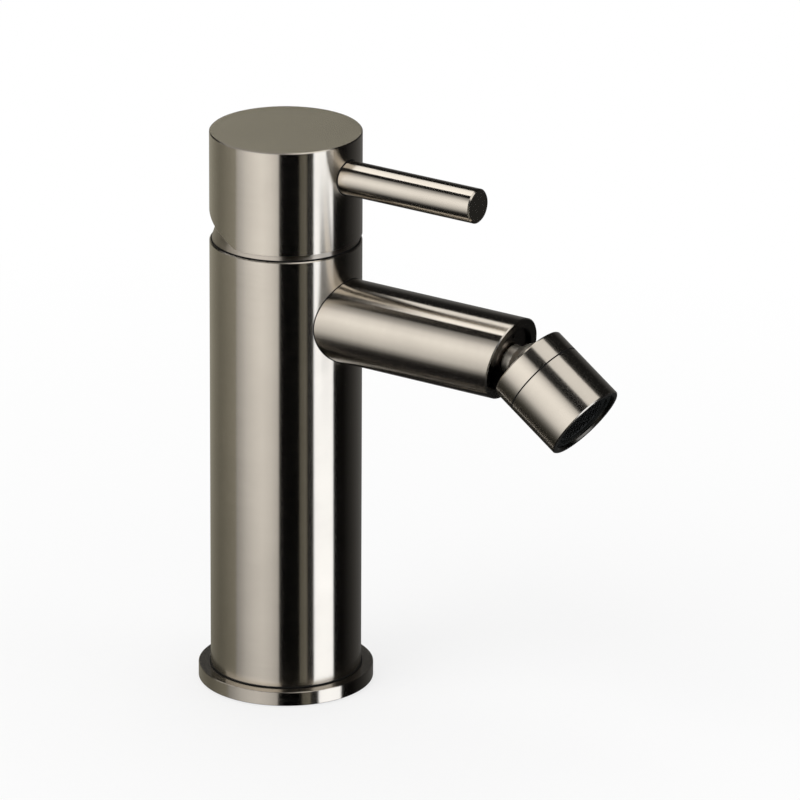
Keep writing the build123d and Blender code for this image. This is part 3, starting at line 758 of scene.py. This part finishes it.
@dataclass
class TappedHoles:
    """The thread turns inside the two hose inlets and the fixing-stud hole.

    The holes open at the height of the ledge.
    """

    finish: Material
    ledge: float = 0.0775
    turn_points: int = 40
    holes: tuple[Hole, ...] = (
        Hole("hot_inlet_thread", (-0.0076, -0.004), 0.0045, 0.0115, 0.001),
        Hole("cold_inlet_thread", (0.0076, -0.004), 0.0045, 0.0115, 0.001),
        Hole("fixing_stud_thread", (0.0, 0.0097), 0.0034, 0.013, 0.00125),
    )

    def build(self) -> None:
        """Cut the turns of all three holes."""
        recipe = self._recipe()
        for hole in self.holes:
            ridge = hole.pitch * 0.5
            piece = recipe.make(
                hole.name,
                {
                    "Radius": hole.radius,
                    "Turns": hole.length / hole.pitch,
                    "Length": hole.length,
                    "Ridge": ridge,
                    "Place": (*hole.place, self.ledge + ridge),
                    "Finish": self.finish,
                },
            )
            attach(piece, "fixed_body")

    def _recipe(self) -> Recipe:
        """Build the tree: a ridge that follows a helix on the hole's wall.

        Returns:
            The finished recipe.
        """
        inputs = sockets(Float="Radius Turns Length Ridge", Vector="Place", Material="Finish")
        recipe = Recipe("thread_turns", inputs)
        given = recipe.given
        helix = recipe.graph.node(
            "GeometryNodeCurveSpiral",
            {
                "Resolution": self.turn_points,
                "Rotations": given["Turns"],
                "Start Radius": given["Radius"],
                "End Radius": given["Radius"],
                "Height": given["Length"],
            },
        )
        turns = recipe.sweep(helix.outputs[0], recipe.circle(given["Ridge"], 4))
        recipe.close(recipe.put(turns))
        return recipe


@dataclass(frozen=True)
class Line:
    """A fine line round an axis: its body, radius and width, and its distance along the axis."""

    name: str
    body: str
    axis: TurnedAbout
    radius: float
    width: float
    along: float = 0.0


@dataclass
class GapShadeLines:
    """The fine dark lines laid where pieces meet, as painted shade in the gaps between them.

    Saddles lie where the lever and the spout meet an upright wall, and are round in section. Rings lie in
    the outlet's seam, under the dome ring and round the column's foot.
    """

    shade: Material
    column_radius: float = 0.02175
    saddle_sides: int = 160
    ring_sides: int = 192
    ring_height: float = 0.0004
    # Each line is a dark piece that stands for the shade in a gap: painted shade.
    saddles: tuple[Line, ...] = (
        Line("lever_root_shade_line", "handle", TurnedAbout.LEVER, 0.00504, 0.0004),
        Line("spout_saddle_shade_line", "fixed_body", TurnedAbout.SPOUT, 0.01212, 0.0003),
    )
    rings: tuple[Line, ...] = (
        Line("outlet_seam_shade_line", "outlet_head", TurnedAbout.OUTLET, 0.01221, 0.0004, 0.00316),
        Line("dome_gap_shade_line", "fixed_body", TurnedAbout.COLUMN, 0.02128, 0.0006, 0.1333),
        Line("column_foot_shade_line", "fixed_body", TurnedAbout.COLUMN, 0.02205, 0.0006, 0.00425),
    )

    def build(self) -> None:
        """Lay every line and let it ride on the body that carries it."""
        saddle_recipe, ring_recipe = self._saddle_recipe(), self._ring_recipe()
        for line in self.saddles:
            height = line.axis.centre[2]
            sizes = {"Section": line.width / 2, "Height": height, "Column": self.column_radius}
            self._lay(saddle_recipe, line, sizes)
        for line in self.rings:
            place, tilt = line.axis.at(line.along), (line.axis.tilt, 0.0, 0.0)
            sizes = {"Width": line.width, "Height": self.ring_height, "Place": place, "Tilt": tilt}
            self._lay(ring_recipe, line, sizes)

    def _lay(self, recipe: Recipe, line: Line, sizes: dict[str, object]) -> None:
        """Make one line.

        Args:
            recipe: the tree that makes it.
            line: the line.
            sizes: the tree's inputs, apart from radius and finish.
        """
        piece = recipe.make(line.name, {**sizes, "Radius": line.radius, "Finish": self.shade})
        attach(piece, line.body)

    def _saddle_recipe(self) -> Recipe:
        """Build the tree: a line where a level tube enters the upright column.

        Returns:
            The finished recipe.
        """
        inputs = sockets(Float="Radius Section Height Column", Material="Finish")
        recipe = Recipe("saddle_line", inputs)
        graph, given = recipe.graph, recipe.given
        spot = graph.split(graph.node("GeometryNodeInputPosition").outputs[0])
        side = graph.math("MULTIPLY", spot[0], spot[0])
        column = graph.math("MULTIPLY", given["Column"], given["Column"])
        reach = graph.math("SQRT", graph.math("SUBTRACT", column, side))
        forward = graph.math("MULTIPLY", reach, -1.0)
        wrapped = graph.join(spot[0], forward, graph.math("ADD", spot[1], given["Height"]))
        circle = recipe.circle(given["Radius"], self.saddle_sides)
        path = graph.node("GeometryNodeSetPosition", {0: circle, "Position": wrapped}).outputs[0]
        recipe.close(recipe.sweep(path, recipe.circle(given["Section"], 8)))
        return recipe

    def _ring_recipe(self) -> Recipe:
        """Build the tree: a flat ring of rectangular section, given by its outer radius.

        Returns:
            The finished recipe.
        """
        inputs = sockets(Float="Radius Width Height", Vector="Place Tilt", Material="Finish")
        recipe = Recipe("flat_ring", inputs)
        graph, given = recipe.graph, recipe.given
        middle = graph.math("SUBTRACT", given["Radius"], graph.math("MULTIPLY", given["Width"], 0.5))
        section = recipe.oblong(given["Width"], given["Height"])
        recipe.close(recipe.put(recipe.sweep(recipe.circle(middle, self.ring_sides), section)))
        return recipe


class Tint(Enum):
    """Colours of the things that stand round the object."""

    PLAIN = (1.0, 1.0, 1.0)
    UMBER = (1.03, 1.0, 0.84)
    COOL = (0.94, 1.0, 1.1)


@dataclass(frozen=True)
class Panel:
    """Something that the metal reflects: rows of (bearing, height, brightness), from its foot to its top.

    Bearings run from the camera's side towards the picture's right, heights from the horizon, in degrees.
    A panel on a higher layer stands nearer and hides what is behind it.
    """

    rows: tuple[Row, ...]
    tint: Tint = Tint.PLAIN
    layer: float = 0.0


def row(
    height: float | tuple[float, ...], bearings: tuple[float, ...], levels: float | tuple[float, ...]
) -> Row:
    """Make a row of a panel.

    Args:
        height: the height of all points, or of each.
        bearings: the bearing of each point.
        levels: the brightness of all points, or of each.

    Returns:
        The row's points.
    """
    given = (value if isinstance(value, tuple) else (value,) * len(bearings) for value in (height, levels))
    heights, shades = given
    return tuple(zip(bearings, heights, shades))


CURTAIN = (70, 98, 118, 145, 165, 187)
WALL = (-173, -150, -116, -97, -76)
OVERHEAD = (
    -262, -257, -235, -206, -185, -171, -165, -160, -148, -133, -124, -109, -91, -58, -20, 0, 18, 60, 103,
)
RIGHT_TOP = row((16, 18, 20), (43, 58, 76), 1.3)

PANELS: dict[str, Panel] = {
    "dark_room": Panel((row(-90, (-180, 180), 0.015), row(90, (-180, 180), 0.015)), layer=-1.0),
    "left_softbox": Panel(
        (
            row(-50, (-102, -88, -70, -52, -38, -24, -11), 0.0),
            row(-38, (-89, -78, -64, -49, -36, -23, -10), (0.04, 0.05, 0.06, 0.07, 0.08, 0.08, 0.06)),
            row(-29, (-83, -73, -62, -48, -35, -22, -9.5), (0.20, 0.30, 0.41, 0.50, 0.55, 0.50, 0.38)),
            row(-20, (-79, -69, -60, -47, -35, -22, -9.5), (0.36, 0.56, 0.88, 1.18, 1.27, 1.12, 0.80)),
            row(-6, (-77, -68, -59, -47, -35, -22, -9.5), (0.72, 0.98, 1.12, 1.22, 1.38, 1.25, 0.95)),
            row(6, (-77, -68, -58, -47, -35, -22, -8.5), (1.02, 1.20, 1.38, 1.38, 1.48, 1.35, 1.05)),
            row(
                (14, 17, 20, 21, 22, 22, 22),
                (-100, -80, -62, -48, -35, -20, -6),
                (1.05, 1.18, 1.33, 1.52, 1.64, 1.52, 1.30),
            ),
            row(
                (22, 28, 33, 34, 35, 35, 34),
                (-108, -86, -66, -52, -38, -22, -6),
                (0.88, 0.98, 1.12, 1.27, 1.38, 1.30, 1.00),
            ),
            row(
                (28, 36, 43, 44, 45, 44, 43),
                (-112, -90, -68, -55, -42, -28, -14),
                (0.50, 0.54, 0.64, 0.80, 0.80, 0.78, 0.72),
            ),
            row(
                (34, 45, 54, 56, 57, 56, 55),
                (-115, -94, -72, -59, -46, -36, -26),
                (0.16, 0.22, 0.26, 0.25, 0.24, 0.22, 0.20),
            ),
        ),
    ),
    "black_flag": Panel(
        (
            row(-50, (-11, 26), 0.0),
            row(-38, (-10, 23), 0.0),
            row(-20, (-9.5, 21), 0.0),
            row(6, (-8.5, 20.5), 0.0),
        ),
    ),
    "far_wall": Panel(
        (
            row(-50, (26, 41), (0.12, 0.20)),
            row(-38, (23, 36), (0.12, 0.20)),
            row(-20, (21, 32), (0.12, 0.20)),
            row(6, (20.5, 31.5), (0.12, 0.20)),
        ),
        Tint.UMBER,
    ),
    "right_softbox": Panel(
        (
            row(-50, (54, 76, 98), 0.15),
            row(-38, (49, 66, 85), 1.2),
            row(-29, (45.0, 62, 79), 2.1),
            row(-20, (42.8, 60, 76.5), (2.1, 2.1, 2.0)),
            row(-8, (42.0, 58, 74), (1.6, 1.6, 1.5)),
            row(6, (42.3, 58, 74), 1.4),
            RIGHT_TOP,
        ),
        Tint.COOL,
        layer=1.0,
    ),
    "high_softbox": Panel(
        (
            RIGHT_TOP,
            row((28, 30, 32), (39.5, 58, 82), (1.3, 1.2, 1.15)),
            row((39, 40, 41), (35, 58, 85), (1.2, 1.2, 1.15)),
            row(51, (28, 57, 91), (1.1, 1.2, 1.15)),
            row((63, 63, 60), (18, 60, 103), (1.1, 1.2, 1.15)),
        ),
        layer=1.0,
    ),
    "right_curtain": Panel(
        (
            row(-50, CURTAIN, (0.0, 0.0, 0.0, 0.01, 0.02, 0.03)),
            row(-30, CURTAIN, (0.0, 0.003, 0.02, 0.06, 0.09, 0.14)),
            row(-8, CURTAIN, (0.005, 0.01, 0.05, 0.12, 0.2, 0.28)),
            row(24, CURTAIN, (0.005, 0.01, 0.02, 0.04, 0.05, 0.04)),
        ),
    ),
    "left_wall": Panel(
        (
            row(-46, WALL, (0.0, 0.0, 0.01, 0.01, 0.02)),
            row((-30, -30, -32, -33, -34), WALL, (0.04, 0.06, 0.07, 0.09, 0.12)),
            row(-20, WALL, (0.35, 0.33, 0.21, 0.26, 0.34)),
            row(-4, (-173, -150, -116, -97, -72), (0.38, 0.35, 0.24, 0.30, 0.39)),
            row(14, (-173, -150, -116, -97, -74), (0.20, 0.20, 0.18, 0.28, 0.38)),
        ),
        Tint.UMBER,
        layer=-0.5,
    ),
    "overhead_softbox": Panel(
        (
            row(
                (60, 60, 65, 65, 61, 53, 46, 40, 37, 36, 45, 58, 68, 75, 76, 74, 63, 62, 60),
                OVERHEAD,
                (*(1.2,) * 4, 1.15, 1.2, 1.3, 1.5, 1.8, 1.85, 1.9, 1.9, 1.6, 1.35, *(1.2,) * 5),
            ),
            row(78, OVERHEAD, (*(1.2,) * 8, *(1.4,) * 4, 1.3, 1.3, *(1.2,) * 5)),
            row(89, OVERHEAD, 0.5),
        ),
    ),
}


@dataclass(frozen=True)
class Lamp:
    """A soft lamp: bearing and height in degrees, distance and width in metres, power in watts."""

    name: str
    bearing: float
    height: float
    distance: float
    width: float
    power: float


@dataclass
class Studio:
    """White floor, soft lamps, and the panels that the metal reflects.

    Panels stand on a sphere of radius reach about the centre. The floor shows the object's shadow most
    within glow_from and none beyond glow_full.
    """

    centre: Point = (0.0, 0.0, 0.09)
    reach: float = 1.2
    layer_gap: float = 0.01
    patch_step: float = 4.0
    ambient: float = 0.68
    floor_radius: float = 1.6
    floor_sides: int = 64
    floor_drop: float = 0.0002
    floor_white: float = 0.9
    floor_spread: float = 0.01
    floor_speckle: float = 300.0
    floor_glow: float = 0.66
    glow_from: float = 0.1
    glow_full: float = 0.38
    lamps: tuple[Lamp, ...] = (
        Lamp("key", -55.0, 48.0, 1.9, 1.3, 9.0),
        Lamp("fill", 75.0, 35.0, 2.1, 1.2, 4.0),
        Lamp("top", 170.0, 70.0, 1.8, 1.6, 6.0),
    )

    def build(self) -> None:
        """Set up everything around the object."""
        self._world()
        self._floor()
        self._panels()
        for lamp in self.lamps:
            self._hang(lamp)
        log.info("studio: floor, %d panels, %d lamps", len(PANELS), len(self.lamps))

    @staticmethod
    def _seen(graph: Graph) -> Socket:
        """Return 1 for rays from the camera, from reflections and through glass."""
        rays = graph.node("ShaderNodeLightPath").outputs
        either = graph.math("MAXIMUM", rays["Is Camera Ray"], rays["Is Glossy Ray"])
        return graph.math("MAXIMUM", either, rays["Is Transmission Ray"])

    def _world(self) -> None:
        """Show white behind the object and light it evenly."""
        world = bpy.data.worlds.new("studio")
        graph = cleared(world)
        level = graph.remap(self._seen(graph), 0.0, 1.0, self.ambient, 1.0)
        glow = graph.node("ShaderNodeBackground", {0: WHITE, 1: level})
        graph.node("ShaderNodeOutputWorld", {0: glow.outputs[0]})
        bpy.context.scene.world = world

    def _floor(self) -> None:
        """Lay a round pale floor that shows only the object's shadow."""
        turns = (math.tau * step / self.floor_sides for step in range(self.floor_sides))
        radius, drop = self.floor_radius, -self.floor_drop
        rim = [(radius * math.cos(turn), radius * math.sin(turn), drop) for turn in turns]
        mesh = bpy.data.meshes.new("studio_floor")
        mesh.from_pydata(rim, [], [tuple(range(self.floor_sides))])
        mesh.materials.append(self._floor_material())
        floor = bpy.data.objects.new("studio_floor", mesh)
        bpy.context.scene.collection.objects.link(floor)
        floor.visible_glossy = False

    def _floor_material(self) -> Material:
        """Make the floor's material, which glows white away from the object.

        Returns:
            The new material.
        """
        material = bpy.data.materials.new("pale_floor")
        graph = cleared(material)
        place = graph.node("ShaderNodeTexCoord").outputs["Object"]
        speckle = graph.node("ShaderNodeTexNoise", {"Vector": place, "Scale": self.floor_speckle})
        pale = mottled(graph, speckle.outputs[0], grey(self.floor_white), self.floor_spread)
        diffuse = graph.node("ShaderNodeBsdfDiffuse", {0: pale})
        white = graph.node("ShaderNodeEmission", {0: WHITE, 1: 1.0})
        away = graph.remap(graph.length(place), self.glow_from, self.glow_full, self.floor_glow, 1.0)
        share = graph.math("MULTIPLY", away, self._seen(graph))
        mixed = graph.node("ShaderNodeMixShader", {0: share, 1: diffuse.outputs[0], 2: white.outputs[0]})
        graph.node("ShaderNodeOutputMaterial", {"Surface": mixed.outputs[0]})
        return material

    def _towards(self, bearing: float, height: float) -> Vector:
        """Make a unit vector.

        Args:
            bearing: degrees from the camera's side.
            height: degrees above the horizon.

        Returns:
            The direction.
        """
        turn, lift, facing = (math.radians(angle) for angle in (bearing, height, FACING))
        back = Vector((math.sin(facing), -math.cos(facing), 0.0))
        right = Vector((math.cos(facing), math.sin(facing), 0.0))
        level = back * math.cos(turn) + right * math.sin(turn)
        return level * math.cos(lift) + Vector((0.0, 0.0, math.sin(lift)))

    def _patch(self, panel: Panel) -> tuple[list[Vector], list[Face], list[Colour]]:
        """Divide a panel into small faces on a sphere.

        Args:
            panel: the panel.

        Returns:
            Points, faces and the tone at each point.
        """
        radius = self.reach * (1.0 - self.layer_gap * panel.layer)
        points: list[Vector] = []
        faces: list[Face] = []
        shades: list[Colour] = []
        for low, high in zip(panel.rows, panel.rows[1:]):
            for corners in zip(low, low[1:], high[1:], high):
                foot, foot_end, top_end, top = (Vector(corner) for corner in corners)
                wide = max((foot_end - foot).length, (top_end - top).length)
                tall = max((top - foot).length, (top_end - foot_end).length)
                columns, rows = (max(1, math.ceil(span / self.patch_step)) for span in (wide, tall))
                start = len(points)
                for step_up in range(rows + 1):
                    for step_across in range(columns + 1):
                        across, up = step_across / columns, step_up / rows
                        place = foot.lerp(foot_end, across).lerp(top.lerp(top_end, across), up)
                        points.append(Vector(self.centre) + radius * self._towards(place.x, place.y))
                        shades.append(tuple(place.z * part for part in panel.tint.value))
                faces += [
                    (first, first + 1, first + columns + 2, first + columns + 1)
                    for left in range(start, start + rows * (columns + 1), columns + 1)
                    for first in range(left, left + columns)
                ]
        return points, faces, shades

    def _panels(self) -> None:
        """Stand the panels round the object, for reflections only."""
        points: list[Vector] = []
        faces: list[Face] = []
        shades: list[Colour] = []
        for panel in PANELS.values():
            new_points, new_faces, new_shades = self._patch(panel)
            faces += [tuple(index + len(points) for index in face) for face in new_faces]
            points += new_points
            shades += new_shades
        mesh = bpy.data.meshes.new("studio_panels")
        mesh.from_pydata(points, [], faces)
        tone = mesh.color_attributes.new("tone", "FLOAT_COLOR", "POINT")
        for index, shade in enumerate(shades):
            tone.data[index].color = (*shade, 1.0)
        mesh.materials.append(self._panel_material())
        panels = bpy.data.objects.new("studio_panels", mesh)
        bpy.context.scene.collection.objects.link(panels)
        for way in ("camera", "diffuse", "transmission", "volume_scatter", "shadow"):
            setattr(panels, f"visible_{way}", False)

    @staticmethod
    def _panel_material() -> Material:
        """Make the panels' material, which glows in the tones of their points.

        Returns:
            The new material.
        """
        material = bpy.data.materials.new("panel_light")
        graph = cleared(material)
        shade = graph.node("ShaderNodeAttribute", attribute_name="tone")
        glow = graph.node("ShaderNodeEmission", {0: shade.outputs["Color"], 1: 1.0})
        graph.node("ShaderNodeOutputMaterial", {"Surface": glow.outputs[0]})
        material.cycles.emission_sampling = "NONE"
        return material

    def _hang(self, lamp: Lamp) -> None:
        """Hang a lamp that lights surfaces but isn't mirrored in them.

        Args:
            lamp: the lamp.
        """
        light = bpy.data.lights.new(lamp.name, "AREA")
        light.shape, light.size, light.energy = "DISK", lamp.width, lamp.power
        hung = bpy.data.objects.new(lamp.name, light)
        way = self._towards(lamp.bearing, lamp.height)
        hung.location = Vector(self.centre) + lamp.distance * way
        hung.rotation_euler = way.to_track_quat("Z", "Y").to_euler()
        hung.visible_glossy = False
        bpy.context.scene.collection.objects.link(hung)


@dataclass
class PictureCamera:
    """The camera that the object was matched with.

    Angles are in degrees, the focal length and the picture's width in pixels, and the sensor in
    millimetres. The camera aims at a point on the axis of the column, moved to the right.
    """

    azimuth: float = FACING
    elevation: float = 20.033
    distance: float = 2.3363
    focal: float = 8170.0
    picture: float = 800.0
    sensor: float = 36.0
    aim_right: float = 0.032616
    aim_height: float = 0.084335
    roll: float = 0.286
    nearest: float = 0.1
    farthest: float = 100.0

    def build(self) -> None:
        """Place the camera and make it the scene's own."""
        turn, lift, roll = (math.radians(angle) for angle in (self.azimuth, self.elevation, self.roll))
        level = math.cos(lift)
        back = Vector((math.sin(turn) * level, -math.cos(turn) * level, math.sin(lift)))
        right = Vector((math.cos(turn), math.sin(turn), 0.0))
        up = back.cross(right)
        place = right * self.aim_right + Vector((0.0, 0.0, self.aim_height)) + back * self.distance
        side, top = right * math.cos(roll) + up * math.sin(roll), up * math.cos(roll) - right * math.sin(roll)
        lens = bpy.data.cameras.new("picture_camera")
        lens.sensor_width = self.sensor
        lens.lens = self.focal / self.picture * self.sensor
        lens.clip_start, lens.clip_end = self.nearest, self.farthest
        camera = bpy.data.objects.new("picture_camera", lens)
        camera.matrix_world = Matrix.Translation(place) @ Matrix((side, top, back)).transposed().to_4x4()
        bpy.context.scene.collection.objects.link(camera)
        bpy.context.scene.camera = camera
        log.info("camera: lens %.1f mm", lens.lens)


def main() -> None:
    """Build the whole scene."""
    bpy.context.scene.view_settings.view_transform = "Standard"
    PictureCamera().build()
    finisher = Finisher(frame["nodes"])
    finisher.dress()
    AeratorInsert(finisher.materials["black_acetal"]).build()
    TappedHoles(finisher.materials["core_brass"]).build()
    # Dark lines in the gaps between parts: painted shade.
    GapShadeLines(finisher.materials["rubber_and_painted_shade"]).build()
    Studio().build()


if __name__ == "__main__":
    main()
